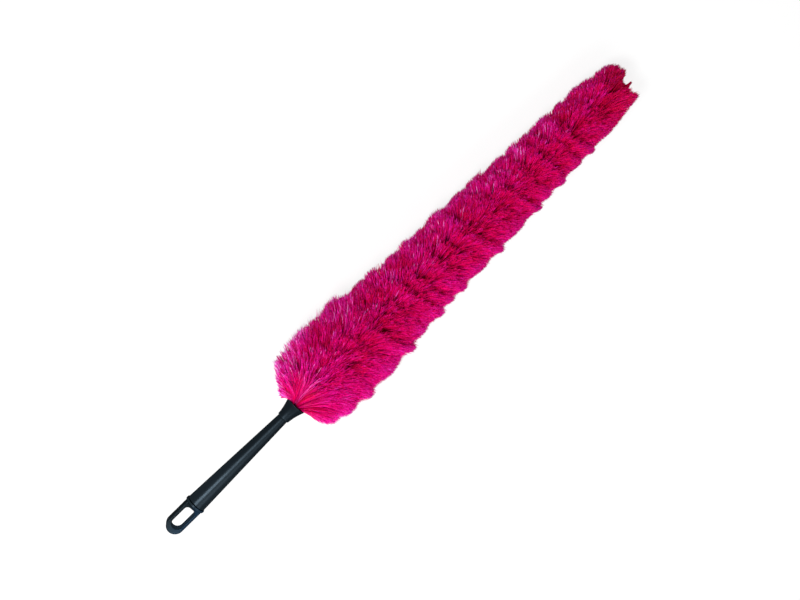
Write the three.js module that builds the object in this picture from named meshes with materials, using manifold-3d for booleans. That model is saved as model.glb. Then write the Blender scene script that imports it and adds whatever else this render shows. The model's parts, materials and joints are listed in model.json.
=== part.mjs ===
// Radiator brush: a long tapered fibre duster on a twisted wire core, in a moulded handle.
//
// Pieces are built in the tool's own frame, in millimetres. +X runs along the axis from the handle
// to the fibre tip, and x = 0 is the seam between the grip's rear end and its hang cap.
// The finished brush is then laid on its side, as on a table: +Z up, z = 0 at the table.

import * as THREE from 'three';
import { mergeVertices } from 'three/addons/utils/BufferGeometryUtils.js';
import Module from 'manifold-3d';

const wasm = await Module();
wasm.setup();

// Fits
const SEAT_GAP = 0.3; // between faces that meet, and all round a piece that sits in another
const MAX_EDGE_SHARE = 0.4; // of a wall's thickness that a rounded edge may take
const MERGE_DISTANCE = 1e-4; // points closer than this are one point

// Hang cap: a loop with a slot, a flange, and a plug that turns in the grip's rear end
const LOOP_LENGTH = 41;
const LOOP_THICKNESS = 13;
const LOOP_SIDE_BAR = 4;
const LOOP_REAR_BAR = 7;
const LOOP_FRONT_BAR = 3.6;
const LOOP_EDGE_ROUND = 1.6;
const SLOT_WIDTH = 14;
const SLOT_FRONT_ROUND = 4.5; // of the slot's two front corners; its rear end is a half circle
const FLANGE_THICKNESS = 4;
const FLANGE_OVERHANG = 1.2; // how far the flange stands proud of the grip
const PLUG_LENGTH = 16;
const PLUG_WALL = 2.2;
const SNAP_HEIGHT = 0.6; // of the plug's snap bead, in a groove inside the grip
const SNAP_LENGTH = 3;
const SNAP_SETBACK = 8; // from the flange to the bead

// Grip: a hollow taper with a spigot at its front
const GRIP_LENGTH = 141;
const GRIP_REAR_DIAMETER = 23.8;
const GRIP_WALL = 2.4; // round the plug
const GRIP_EDGE_ROUND = 0.8;
const SPIGOT_LENGTH = 10;
const SPIGOT_WALL = 1.9;
const SHOULDER = 0.8; // step from the grip's neck down to the spigot
const BORE_STEP = 0.5; // stop behind the stem plug

// Stem plug: the bush that grips the wire core in the spigot
const STEM_PLUG_LENGTH = 20;
const STEM_PLUG_WALL = 1.1;
const STEM_FLANGE_THICKNESS = 1.5;

// Ferrule: the trumpet that covers the spigot and the root of the pile
const FERRULE_WALL = 1.9;
const FERRULE_WEB = 2; // wall between the spigot's socket and the cup
const FERRULE_CUP = 7.2; // depth of the cup in front of the web
const FERRULE_COLLAR = 3; // straight stretch before the flare
const FERRULE_FLARE = 4.8; // from the collar's radius to the lip's
const FERRULE_LIP = 0.9; // thickness of the lip

// Core: one wire folded in half and twisted, with an eye at the fold and splayed tails
const WIRE_DIAMETER = 2;
const FIBRE_NIP = 0.6; // room between the two strands for the fibres they pinch
const TWIST_PITCH = 37;
const EYE_DIAMETER = 7;
const TAIL_LENGTH = 9;

// Pile: locks of fibre that leave the core between the strands and lean towards the tip
const PILE_LENGTH = 524; // of the core's length that carries fibre
const PILE_BASE_DIAMETER = 112;
const PILE_TIP_DIAMETER = 62;
const PILE_PLATEAU = 103; // full-width stretch, from the ferrule
const PILE_TIP_SETBACK = 11; // from the end of the straight taper to the last root
const PILE_TIP_ROUND = 46; // rounding beyond the taper
const ROOT_WALL = 1.8; // of the bound root round the core
const LOCK_ROOT_WIDTH = 2;
const LOCK_WIDTH = 8.4;
const LOCK_BELLY_SHARE = 0.62; // where along its length a lock is widest
const LOCK_BOW_SHARE = 0.06; // of its length by which a lock bows outwards
const LEAN_BASE = 62; // degrees from the axis
const LEAN_BODY = 45;
const LEAN_TIP = 36;
const LEAN_BASE_LENGTH = 46; // stretches of core over which the lean changes
const LEAN_TIP_LENGTH = 60;
const FLAT_DEPTH = 0.5; // taken off the locks that the brush lies on

// Counts
const ROUND_SIDES = 36;
const EDGE_STEPS = 3; // in a quarter round
const ARC_STEPS = 12;
const FLARE_STEPS = 7;
const ROOT_SIDES = 10;
const WIRE_SIDES = 5;
const STEPS_PER_TURN = 8;
const ARC_LENGTH_STEPS = 6000; // in measuring along the wire
const LOCK_SIDES = 3;
const LOCKS_PER_TURN = 15; // on each side of the twist; odd, so that the sides' columns interleave
const PILE_SECTIONS = ['pile_base', 'pile_lower', 'pile_upper', 'pile_tip'];

// Radii and stations that follow from the driving dimensions
const coreOrbit = (WIRE_DIAMETER + FIBRE_NIP) / 2;
const coreRadius = coreOrbit + WIRE_DIAMETER / 2;
const coreBore = coreRadius + SEAT_GAP;
const stemPlugRadius = coreBore + STEM_PLUG_WALL;
const stemBore = stemPlugRadius + SEAT_GAP;
const spigotRadius = stemBore + SPIGOT_WALL;
const neckRadius = spigotRadius + SHOULDER;
const ferruleSocket = spigotRadius + SEAT_GAP;
const ferruleRadius = ferruleSocket + FERRULE_WALL;
const lipRadius = ferruleRadius + FERRULE_FLARE;
const boreFront = stemBore + BORE_STEP;
const tailOrbit = boreFront - SEAT_GAP - WIRE_DIAMETER / 2;
const gripRadius = GRIP_REAR_DIAMETER / 2;
const plugSocket = gripRadius - GRIP_WALL;
const plugRadius = plugSocket - SEAT_GAP;
const flangeRadius = gripRadius + FLANGE_OVERHANG;
const rootRadius = coreBore + ROOT_WALL;

const spigotEnd = GRIP_LENGTH + SPIGOT_LENGTH;
const stemSeat = spigotEnd - STEM_PLUG_LENGTH;
const webRear = spigotEnd + STEM_FLANGE_THICKNESS + 2 * SEAT_GAP;
const webFront = webRear + FERRULE_WEB;
const ferruleRear = GRIP_LENGTH + SEAT_GAP;
const ferruleFront = webFront + FERRULE_CUP;
const pileRear = webFront + SEAT_GAP;
const firstRoot = ferruleFront - SEAT_GAP;
const lastRoot = firstRoot + PILE_LENGTH;
const plateauEnd = ferruleFront + PILE_PLATEAU;
const taperEnd = lastRoot - PILE_TIP_SETBACK;
const taperLength = taperEnd - plateauEnd;

// The brush lies on the straight underside of its taper.
const layAngle = Math.atan((PILE_BASE_DIAMETER - PILE_TIP_DIAMETER) / 2 / taperLength);

// Solids

// A closed geometry as a solid that can be joined and cut
function solid(geometry) {
  const bare = geometry.index ? geometry.toNonIndexed() : geometry.clone();
  bare.deleteAttribute('normal');
  bare.deleteAttribute('uv');
  const merged = mergeVertices(bare, MERGE_DISTANCE);
  const corners = merged.index.array;
  const triVerts = [];
  for (let i = 0; i < corners.length; i += 3) {
    const [a, b, c] = corners.slice(i, i + 3);
    if (a !== b && b !== c && c !== a) triVerts.push(a, b, c);
  }
  return new wasm.Manifold(new wasm.Mesh({
    numProp: 3,
    vertProperties: merged.attributes.position.array,
    triVerts: new Uint32Array(triVerts),
  }));
}

// A solid back as a flat-shaded geometry
function geometryOf(body) {
  const mesh = body.getMesh();
  const indexed = new THREE.BufferGeometry()
    .setAttribute('position', new THREE.BufferAttribute(mesh.vertProperties, mesh.numProp))
    .setIndex(new THREE.BufferAttribute(mesh.triVerts, 1));
  const flat = indexed.toNonIndexed();
  flat.computeVertexNormals();
  return flat;
}

// A profile of [radius, x] points turned about the tool's axis
function turned(profile, sides = ROUND_SIDES) {
  const points = profile.map(([radius, x]) => new THREE.Vector2(radius, x));
  return new THREE.LatheGeometry(points, sides).rotateZ(-Math.PI / 2);
}

// A turned ring: its outer profile from rear to front, then its bore from front to rear
function turnedRing(outer, bore, sides) {
  return turned([...outer, ...bore, outer[0]], sides);
}

// Points [radius, x] of a flare that leaves the axis direction and opens to the front
function flare(rearRadius, rearX, frontRadius, frontX) {
  const curve = new THREE.QuadraticBezierCurve(
    new THREE.Vector2(rearRadius, rearX),
    new THREE.Vector2(rearRadius, (rearX + frontX) / 2),
    new THREE.Vector2(frontRadius, frontX),
  );
  return curve.getPoints(FLARE_STEPS).map((p) => [p.x, p.y]);
}

// Points [radius, x] of a quarter round from one tangent point to the other
function quarterRound(centreRadius, centreX, size, fromAngle) {
  return Array.from({ length: EDGE_STEPS + 1 }, (_, i) => {
    const angle = fromAngle - (i / EDGE_STEPS) * (Math.PI / 2);
    return [centreRadius + size * Math.sin(angle), centreX + size * Math.cos(angle)];
  });
}

// Hang cap

function hangLoop() {
  const halfWidth = SLOT_WIDTH / 2 + LOOP_SIDE_BAR;
  const flangeFace = -FLANGE_THICKNESS;
  const roundCentre = flangeFace - LOOP_LENGTH + halfWidth;
  const outline = new THREE.Shape();
  outline.moveTo(flangeFace / 2, halfWidth);
  outline.lineTo(roundCentre, halfWidth);
  outline.absarc(roundCentre, 0, halfWidth, Math.PI / 2, Math.PI * 1.5, false);
  outline.lineTo(flangeFace / 2, -halfWidth);
  outline.closePath();

  const slotRadius = SLOT_WIDTH / 2;
  const frontRound = Math.min(SLOT_FRONT_ROUND, slotRadius);
  const cornerX = flangeFace - LOOP_FRONT_BAR - frontRound;
  const cornerY = slotRadius - frontRound;
  const rearX = flangeFace - LOOP_LENGTH + LOOP_REAR_BAR + slotRadius;
  const slot = new THREE.Path();
  slot.moveTo(cornerX, slotRadius);
  slot.absarc(cornerX, cornerY, frontRound, Math.PI / 2, 0, true);
  slot.absarc(cornerX, -cornerY, frontRound, 0, -Math.PI / 2, true);
  slot.absarc(rearX, 0, slotRadius, -Math.PI / 2, -Math.PI * 1.5, true);
  outline.holes.push(slot);

  const thinnest = Math.min(LOOP_THICKNESS, LOOP_SIDE_BAR, LOOP_REAR_BAR, LOOP_FRONT_BAR);
  const edge = Math.min(LOOP_EDGE_ROUND, MAX_EDGE_SHARE * thinnest);
  const straight = LOOP_THICKNESS - 2 * edge;
  return new THREE.ExtrudeGeometry(outline, {
    depth: straight,
    curveSegments: ARC_STEPS,
    bevelThickness: edge,
    bevelSize: edge,
    bevelOffset: -edge,
    bevelSegments: EDGE_STEPS,
  }).translate(0, 0, -straight / 2);
}

// The flange has a round rim, and the plug is cored out from its front.
function capPlug() {
  const seam = -SEAT_GAP;
  const flangeRear = seam - FLANGE_THICKNESS;
  const rim = Math.min(FLANGE_THICKNESS / 2, flangeRadius - plugRadius);
  const bead = [
    [plugRadius, SNAP_SETBACK],
    [plugRadius + SNAP_HEIGHT, SNAP_SETBACK + SNAP_LENGTH / 2],
    [plugRadius, SNAP_SETBACK + SNAP_LENGTH],
  ];
  return turned([
    [0, flangeRear],
    ...quarterRound(flangeRadius - rim, flangeRear + rim, rim, Math.PI),
    ...quarterRound(flangeRadius - rim, seam - rim, rim, Math.PI / 2).slice(1),
    [plugRadius, seam],
    ...bead,
    [plugRadius, PLUG_LENGTH],
    [plugRadius - PLUG_WALL, PLUG_LENGTH],
    [plugRadius - PLUG_WALL, 0],
    [0, 0],
  ]);
}

function hangCap() {
  return geometryOf(solid(capPlug()).add(solid(hangLoop())));
}

// Grip

function gripTube() {
  const grooveFloor = plugSocket + SNAP_HEIGHT;
  const socketEnd = PLUG_LENGTH + SEAT_GAP;
  const edge = Math.min(GRIP_EDGE_ROUND, MAX_EDGE_SHARE * GRIP_WALL);
  const outer = [
    [plugSocket, 0],
    ...quarterRound(gripRadius - edge, edge, edge, Math.PI),
    [neckRadius, GRIP_LENGTH],
    [spigotRadius, GRIP_LENGTH],
    [spigotRadius, spigotEnd],
  ];
  const bore = [
    [stemBore, spigotEnd],
    [stemBore, stemSeat - SEAT_GAP],
    [boreFront, stemSeat - SEAT_GAP],
    [plugSocket - BORE_STEP, socketEnd],
    [plugSocket, socketEnd],
    [plugSocket, SNAP_SETBACK + SNAP_LENGTH],
    [grooveFloor, SNAP_SETBACK + SNAP_LENGTH / 2],
    [plugSocket, SNAP_SETBACK],
  ];
  return turnedRing(outer, bore);
}

// Stem plug

function stemPlug() {
  const flangeRear = spigotEnd + SEAT_GAP;
  const flangeFront = flangeRear + STEM_FLANGE_THICKNESS;
  const outer = [
    [stemPlugRadius, stemSeat],
    [stemPlugRadius, flangeRear],
    [spigotRadius, flangeRear],
    [spigotRadius, flangeFront],
  ];
  const bore = [
    [coreBore, flangeFront],
    [coreBore, stemSeat],
  ];
  return turnedRing(outer, bore);
}

// Ferrule

function ferrule() {
  const outer = [
    [ferruleRadius, ferruleRear],
    ...flare(ferruleRadius, ferruleRear + FERRULE_COLLAR, lipRadius, ferruleFront),
  ];
  const cup = flare(ferruleSocket, webFront, lipRadius - FERRULE_LIP, ferruleFront).reverse();
  const bore = [
    ...cup,
    [coreBore, webFront],
    [coreBore, webRear],
    [ferruleSocket, webRear],
    [ferruleSocket, ferruleRear],
  ];
  return turnedRing(outer, bore);
}

// Core wire

// The twist is set so that two columns of locks share the brush's weight, one each side of its lowest line.
const halfColumn = Math.PI / (2 * LOCKS_PER_TURN);
const twistAt = (x) => (2 * Math.PI * (x - firstRoot)) / TWIST_PITCH + halfColumn;

// Centreline of the folded wire: up one strand, round the eye and down the other
class FoldedWire extends THREE.Curve {
  constructor() {
    super();
    this.tailStart = stemSeat - TAIL_LENGTH;
    this.eyeStart = lastRoot;
    this.eyeRadius = (EYE_DIAMETER - WIRE_DIAMETER) / 2;
    this.eyeCentre = this.eyeStart + EYE_DIAMETER;
    this.strandLength = this.eyeCentre - this.tailStart;
    this.bendLength = Math.PI * this.eyeRadius;
    this.arcLengthDivisions = ARC_LENGTH_STEPS;
  }

  // One strand's distance from the axis: splayed at the tail, opening into the eye at the tip
  orbit(x) {
    const tail = THREE.MathUtils.smoothstep(stemSeat - x, 0, TAIL_LENGTH);
    const eye = THREE.MathUtils.smoothstep(x, this.eyeStart, this.eyeCentre);
    return coreOrbit + tail * (tailOrbit - coreOrbit) + eye * (this.eyeRadius - coreOrbit);
  }

  // The twist stops where the tails and the eye begin, so both lie flat.
  strand(x, side) {
    const angle = twistAt(THREE.MathUtils.clamp(x, stemSeat, this.eyeStart));
    const distance = side * this.orbit(x);
    return new THREE.Vector3(x, distance * Math.cos(angle), distance * Math.sin(angle));
  }

  getPoint(t, target = new THREE.Vector3()) {
    const run = t * (2 * this.strandLength + this.bendLength);
    const pastBend = run - this.strandLength - this.bendLength;
    if (run < this.strandLength) return target.copy(this.strand(this.tailStart + run, 1));
    if (pastBend > 0) return target.copy(this.strand(this.eyeCentre - pastBend, -1));
    const bend = (run - this.strandLength) / this.eyeRadius;
    const across = this.strand(this.eyeCentre, 1).setX(0).multiplyScalar(Math.cos(bend));
    return target.set(this.eyeCentre + this.eyeRadius * Math.sin(bend), 0, 0).add(across);
  }
}

function coreWire() {
  const path = new FoldedWire();
  const section = new THREE.Shape(Array.from({ length: WIRE_SIDES }, (_, i) => {
    const turn = (2 * Math.PI * i) / WIRE_SIDES;
    return new THREE.Vector2(Math.cos(turn), Math.sin(turn)).multiplyScalar(WIRE_DIAMETER / 2);
  }));
  const steps = Math.ceil((STEPS_PER_TURN * path.getLength()) / TWIST_PITCH);
  const spaced = path.getSpacedPoints(steps);
  const across = Math.ceil((steps * EYE_DIAMETER) / path.getLength()) * 2;
  let leastGap = Infinity;
  for (let i = 0; i < spaced.length; i += 1) {
    for (let j = i + across; j < spaced.length; j += 1) {
      leastGap = Math.min(leastGap, spaced[i].distanceTo(spaced[j]) - WIRE_DIAMETER);
    }
  }
  console.log(`least gap between the core's strands: ${leastGap.toFixed(2)} mm`);
  return new THREE.ExtrudeGeometry(section, { steps, extrudePath: path, bevelEnabled: false });
}

// Pile

// Radius of the trimmed pile at a station
function pileRadius(x) {
  const base = PILE_BASE_DIAMETER / 2;
  const tip = PILE_TIP_DIAMETER / 2;
  const narrowed = THREE.MathUtils.clamp((x - plateauEnd) / taperLength, 0, 1);
  const rounded = THREE.MathUtils.clamp((x - taperEnd) / PILE_TIP_ROUND, 0, 1);
  return (base + (tip - base) * narrowed) * Math.sqrt(1 - rounded * rounded);
}

// Angle between a lock and the axis. It never grows towards the tip, so no two locks cross.
function leanAt(x) {
  const toBody = THREE.MathUtils.smoothstep(x, firstRoot, firstRoot + LEAN_BASE_LENGTH);
  const toTip = THREE.MathUtils.smoothstep(x, lastRoot - LEAN_TIP_LENGTH, lastRoot);
  const degrees = LEAN_BASE + (LEAN_BODY - LEAN_BASE) * toBody + (LEAN_TIP - LEAN_BODY) * toTip;
  return THREE.MathUtils.degToRad(degrees);
}

// Length at which a lock that starts at x meets the trimmed outline
function lockLength(x, lean) {
  let short = 0;
  let long = PILE_BASE_DIAMETER;
  while (long - short > MERGE_DISTANCE) {
    const length = (short + long) / 2;
    const outside = rootRadius + length * Math.sin(lean) > pileRadius(x + length * Math.cos(lean));
    if (outside) long = length;
    else short = length;
  }
  return short;
}

// One lock: three-sided, widest past its middle, bowed, and pointed
function lock(x, angle) {
  const lean = leanAt(x);
  const length = lockLength(x, lean);
  const outward = new THREE.Vector3(0, Math.cos(angle), Math.sin(angle));
  const across = new THREE.Vector3(0, Math.sin(angle), -Math.cos(angle));
  const along = new THREE.Vector3(Math.cos(lean), 0, 0).addScaledVector(outward, Math.sin(lean));
  const up = new THREE.Vector3(-Math.sin(lean), 0, 0).addScaledVector(outward, Math.cos(lean));
  const root = new THREE.Vector3(x, 0, 0).addScaledVector(outward, rootRadius - ROOT_WALL / 2);
  const tip = new THREE.Vector3(x, 0, 0).addScaledVector(outward, rootRadius).addScaledVector(along, length);
  const belly = root.clone().lerp(tip, LOCK_BELLY_SHARE).addScaledVector(up, LOCK_BOW_SHARE * length);

  const ring = (centre, width) => Array.from({ length: LOCK_SIDES }, (_, i) => {
    const turn = (2 * Math.PI * i) / LOCK_SIDES;
    return centre.clone()
      .addScaledVector(across, (width / 2) * Math.cos(turn))
      .addScaledVector(up, (width / 2) * Math.sin(turn));
  });
  const rootRing = ring(root, LOCK_ROOT_WIDTH);
  const bellyRing = ring(belly, LOCK_WIDTH);
  const corners = [...rootRing.toReversed()];
  for (let i = 0; i < LOCK_SIDES; i += 1) {
    const next = (i + 1) % LOCK_SIDES;
    corners.push(rootRing[i], rootRing[next], bellyRing[next]);
    corners.push(rootRing[i], bellyRing[next], bellyRing[i]);
    corners.push(bellyRing[i], bellyRing[next], tip);
  }
  return solid(new THREE.BufferGeometry().setFromPoints(corners));
}

// The bound root of one section: a sleeve round the core
function pileRoot(rear, front) {
  const sleeve = [[rootRadius, rear], [rootRadius, front]];
  return solid(turnedRing(sleeve, [[coreBore, front], [coreBore, rear]], ROOT_SIDES));
}

// Everything below the table, in the tool's frame
function belowTable(lay) {
  const size = 4 * (PILE_LENGTH + GRIP_LENGTH);
  const slab = new THREE.BoxGeometry(size, size, size).translate(0, 0, -size / 2);
  return solid(slab.applyMatrix4(lay.clone().invert()));
}

// The pile's sections share its length. Locks leave the core on both sides of the twist, and the
// last place of a section stays empty, so that its locks stand clear of the next section's root.
function pileSections(lay) {
  const table = belowTable(lay);
  const step = TWIST_PITCH / LOCKS_PER_TURN;
  const places = Math.floor(PILE_LENGTH / PILE_SECTIONS.length / step);
  return PILE_SECTIONS.map((_, i) => {
    const seam = firstRoot + i * places * step;
    const rear = i === 0 ? pileRear : seam - LOCK_ROOT_WIDTH / 2;
    const front = seam + places * step - LOCK_ROOT_WIDTH / 2 - SEAT_GAP;
    const pieces = [pileRoot(rear, front)];
    for (let k = 0; k + 1 < places; k += 1) {
      const x = seam + k * step;
      pieces.push(lock(x, twistAt(x) + Math.PI / 2));
      pieces.push(lock(x, twistAt(x) - Math.PI / 2));
    }
    return geometryOf(wasm.Manifold.union(pieces).subtract(table));
  });
}

// Assembly

const blackPlastic = new THREE.MeshStandardMaterial({ color: 0x20262b, roughness: 0.42, metalness: 0 });
const navyPlastic = new THREE.MeshStandardMaterial({ color: 0x16222e, roughness: 0.35, metalness: 0 });
const greyPlastic = new THREE.MeshStandardMaterial({ color: 0x6a6e72, roughness: 0.55, metalness: 0 });
const zincedSteel = new THREE.MeshStandardMaterial({ color: 0xb4b8bb, roughness: 0.4, metalness: 1 });
const magentaFibre = new THREE.MeshStandardMaterial({ color: 0xcc0f6e, roughness: 0.6, metalness: 0 });

function part(name, geometry, material) {
  const mesh = new THREE.Mesh(geometry, material);
  mesh.name = name;
  return mesh;
}

// Turned so that the underside of the taper is level, and raised so that it lies on the table
const lay = new THREE.Matrix4().makeRotationY(layAngle).setPosition(
  0,
  0,
  (PILE_BASE_DIAMETER / 2) * Math.cos(layAngle) + plateauEnd * Math.sin(layAngle) - FLAT_DEPTH,
);

const tool = new THREE.Group();
tool.add(part('hang_cap', hangCap(), navyPlastic));
tool.add(part('grip', gripTube(), blackPlastic));
tool.add(part('ferrule', ferrule(), blackPlastic));
tool.add(part('stem_plug', stemPlug(), greyPlastic));
tool.add(part('core_wire', coreWire(), zincedSteel));
pileSections(lay).forEach((geometry, i) => tool.add(part(PILE_SECTIONS[i], geometry, magentaFibre)));
tool.applyMatrix4(lay);

// The origin is on the table, under the middle of the brush.
const brush = new THREE.Group();
brush.add(tool);
const middle = new THREE.Box3().setFromObject(brush, true).getCenter(new THREE.Vector3());
tool.position.x -= middle.x;
tool.position.y -= middle.y;

export default brush;
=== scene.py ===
# %% [markdown]
# # A radiator brush, dressed for its photograph
# A radiator brush is a long soft pile on a twisted wire core, with a tapered plastic grip and a loop to hang
# it by. The solids of the part are loaded first, as a fixed frame: they say where everything is. The rest of
# this lesson dresses them. Most of the work goes into the pile, because the eye knows at once whether fur is
# fur.

# %% The frame
import json
import math

import bpy
import numpy as np
from mathutils import Matrix


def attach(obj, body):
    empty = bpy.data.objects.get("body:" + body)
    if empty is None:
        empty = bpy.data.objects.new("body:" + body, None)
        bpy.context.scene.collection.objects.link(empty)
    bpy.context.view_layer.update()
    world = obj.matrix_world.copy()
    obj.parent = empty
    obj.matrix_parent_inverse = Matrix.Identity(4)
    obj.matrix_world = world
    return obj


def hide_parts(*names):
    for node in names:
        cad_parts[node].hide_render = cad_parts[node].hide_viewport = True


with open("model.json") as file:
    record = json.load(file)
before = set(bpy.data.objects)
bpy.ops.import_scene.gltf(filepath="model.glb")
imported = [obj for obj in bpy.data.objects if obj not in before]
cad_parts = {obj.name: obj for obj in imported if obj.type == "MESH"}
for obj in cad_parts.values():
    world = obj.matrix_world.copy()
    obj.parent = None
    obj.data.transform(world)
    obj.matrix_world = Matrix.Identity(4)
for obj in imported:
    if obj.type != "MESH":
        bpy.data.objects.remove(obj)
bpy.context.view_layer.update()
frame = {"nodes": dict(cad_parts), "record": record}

# %% [markdown]
# The brush lies on a table, so its axis drops a little towards the tip. Shapes are easier to think of along
# the axis, so every piece below is worked out in tool coordinates, in millimetres: x runs from the seam
# behind the grip towards the tip, y is sideways and z is up from the axis. The record's one joint turns about
# that same axis at that same seam, so its place and direction are all that the change of coordinates needs.

# %% Tool coordinates
MM = 0.001
turning = frame["record"]["behaviour"]["joints"][0]
SEAM = np.array(turning["pos_m"])
AXIS = np.array(turning["axis"]) / np.linalg.norm(turning["axis"])
SIDE = np.array([0.0, 1.0, 0.0])
UP = np.cross(AXIS, SIDE)


def to_row(points):
    """Tool millimetres to metres in the shared frame: the seam plus x, y and z along axis, side and up."""
    return SEAM + MM * (points @ np.stack([AXIS, SIDE, UP]))


print("seam", np.round(SEAM, 4), "axis", np.round(AXIS, 4))

# %% [markdown]
# The camera looks down on the brush from above and a little from one side, which shows the inner wall of the
# hang loop. The picture's upright is turned so that the brush climbs from lower left to upper right. A camera
# looks along its own -Z, so its matrix is made of the picture's right, the picture's up and the direction
# back to the camera.

# %% Camera
CAMERA_TILT = math.radians(15)
CAMERA_DISTANCE = 1.2
MIDDLE_X = 330.0
AXIS_ON_PICTURE = (0.7126, 0.7016)
PICTURE_OFFSET = (0.0013, 0.0045)
LENS_MM = 46.5


def placed(right, upright, back, place):
    """The matrix whose columns are an object's own right, upright and back, and its place."""
    columns = np.eye(4)
    columns[:3] = np.stack([right, upright, back, place], axis=-1)
    return Matrix(columns.tolist())


towards = math.cos(CAMERA_TILT) * UP + math.sin(CAMERA_TILT) * SIDE
across = np.cross(AXIS, towards)
right = AXIS_ON_PICTURE[0] * AXIS + AXIS_ON_PICTURE[1] * across
upright = AXIS_ON_PICTURE[1] * AXIS - AXIS_ON_PICTURE[0] * across
eye = to_row(np.array([MIDDLE_X, 0, 0])) + CAMERA_DISTANCE * towards
eye = eye + PICTURE_OFFSET[0] * right + PICTURE_OFFSET[1] * upright

camera = bpy.data.objects.new("camera", bpy.data.cameras.new("camera"))
camera.data.lens = LENS_MM
camera.matrix_world = placed(right, upright, towards, eye)
bpy.context.scene.collection.objects.link(camera)
bpy.context.scene.camera = camera
print("camera at", np.round(eye, 3))

# %% [markdown]
# Every finish is a small tree of nodes. Wiring such a tree by hand hides the thought behind it, so one small
# class wraps a socket: arithmetic on it adds Math nodes, and its node() method adds any other node, with the
# settings made first and the sockets filled after that. A Mix node has a set of sockets for each kind of
# data, and those for colours are told apart by their numbers.

# %% Finishes as expressions
MIX_SHARE = 0
MIX_FIRST = 6
MIX_SECOND = 7
MIX_RESULT = 2


class Tone:
    """One socket of a node tree. Arithmetic on it adds Math nodes, and node() adds any other node."""

    def __init__(self, tree, socket=None):
        self.tree = tree
        self.socket = socket

    def node(self, kind, settings=None, sockets=None, output=0):
        """Adds a node: its settings, then the values or links of its sockets. Gives one of its outputs."""
        made = self.tree.nodes.new(kind)
        settings = dict(settings or {})
        stops = settings.pop("stops", [])
        for name, value in settings.items():
            setattr(made, name, value)
        for place, _ in stops[2:]:
            made.color_ramp.elements.new(place)
        for element, (place, colour) in zip(made.color_ramp.elements if stops else [], stops):
            element.position = place
            element.color = (*colour, 1.0)
        for name, value in (sockets or {}).items():
            if isinstance(value, Tone):
                self.tree.links.new(value.socket, made.inputs[name])
            else:
                made.inputs[name].default_value = value
        return Tone(self.tree, made.outputs[output] if made.outputs else None)

    def math(self, operation, first, second):
        """A Math node of two values."""
        return self.node("ShaderNodeMath", {"operation": operation}, {0: first, 1: second})

    def __add__(self, other):
        return self.math("ADD", self, other)

    def __sub__(self, other):
        return self.math("SUBTRACT", self, other)

    def __rsub__(self, other):
        return self.math("SUBTRACT", other, self)

    def __mul__(self, other):
        return self.math("MULTIPLY", self, other)

    __radd__ = __add__
    __rmul__ = __mul__

    def noise(self, place, size_mm, detail):
        """Cloudy noise whose blots are about size_mm across."""
        scale = 1 / (MM * size_mm)
        return self.node("ShaderNodeTexNoise", {}, {"Vector": place, "Scale": scale, "Detail": detail})

    def between(self, first, second):
        """A colour between two others, by this value."""
        sockets = {MIX_SHARE: self, MIX_FIRST: first, MIX_SECOND: second}
        return self.node("ShaderNodeMix", {"data_type": "RGBA"}, sockets, output=MIX_RESULT)

    def surface(self, shader):
        """Ends a material's tree with its output."""
        self.node("ShaderNodeOutputMaterial", {}, {"Surface": shader})


def new_finish(name):
    """An empty material, and a Tone to start its tree with."""
    material = bpy.data.materials.new(name)
    material.use_nodes = True
    material.node_tree.nodes.clear()
    return material, Tone(material.node_tree)


# %% [markdown]
# The photograph is a cut-out on white. The floor is white too: what the camera sees of it is mostly its own
# glow, so it stays white, and the rest is plain diffuse white, so it still takes the soft shadow of the
# brush. Further off, where no shadow falls, it fades to glow alone and meets the white backdrop unseen.

# %% Floor
FLOOR_HALF_WIDTH = 6.0
FLOOR_GLOW_SHARE = 0.8
FLOOR_FADE = (0.7, 1.6)
FLOOR_WHITE = (0.97, 0.97, 0.97, 1.0)
WHITE = (1.0, 1.0, 1.0, 1.0)


def seen_directly(start):
    """One for rays from the camera, from a mirror-like surface or through glass, none for scattered light."""
    eye_ray = start.node("ShaderNodeLightPath", output="Is Camera Ray")
    gloss_ray = start.node("ShaderNodeLightPath", output="Is Glossy Ray")
    glass_ray = start.node("ShaderNodeLightPath", output="Is Transmission Ray")
    return start.math("MAXIMUM", start.math("MAXIMUM", eye_ray, gloss_ray), glass_ray)


floor_finish, start = new_finish("floor_white")
plain = start.node("ShaderNodeBsdfDiffuse", {}, {"Color": FLOOR_WHITE})
glow = start.node("ShaderNodeEmission", {}, {"Color": WHITE, "Strength": 1.0})
place = start.node("ShaderNodeTexCoord", output="Object")
distance = start.node("ShaderNodeVectorMath", {"operation": "LENGTH"}, {0: place}, output="Value")
glow_share = start.node("ShaderNodeMapRange", {"interpolation_type": "SMOOTHSTEP"}, {
    "Value": distance,
    "From Min": FLOOR_FADE[0],
    "From Max": FLOOR_FADE[1],
    "To Min": FLOOR_GLOW_SHARE,
    "To Max": 1.0,
})
share = seen_directly(start) * glow_share
start.surface(start.node("ShaderNodeMixShader", {}, {0: share, 1: plain, 2: glow}))

half = FLOOR_HALF_WIDTH
floor_mesh = bpy.data.meshes.new("floor")
floor_corners = [(-half, -half, 0), (half, -half, 0), (half, half, 0), (-half, half, 0)]
floor_mesh.from_pydata(floor_corners, [], [(0, 1, 2, 3)])
floor_mesh.materials.append(floor_finish)
floor = bpy.data.objects.new("floor", floor_mesh)
bpy.context.scene.collection.objects.link(floor)
print("floor", 2 * FLOOR_HALF_WIDTH, "m wide")

# %% [markdown]
# The world gives even light from all round. A lamp high over the handle stands where the grip mirrors it to
# the camera, and gives the grip its highlight. A longer one stands closer, over the base of the pile and off
# to the picture's lower right, and lights the base and the right side of the pile most. Each lamp is placed
# by the station that it points at, how far it leans sideways and back towards the handle in degrees, and its
# distance in metres.

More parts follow.
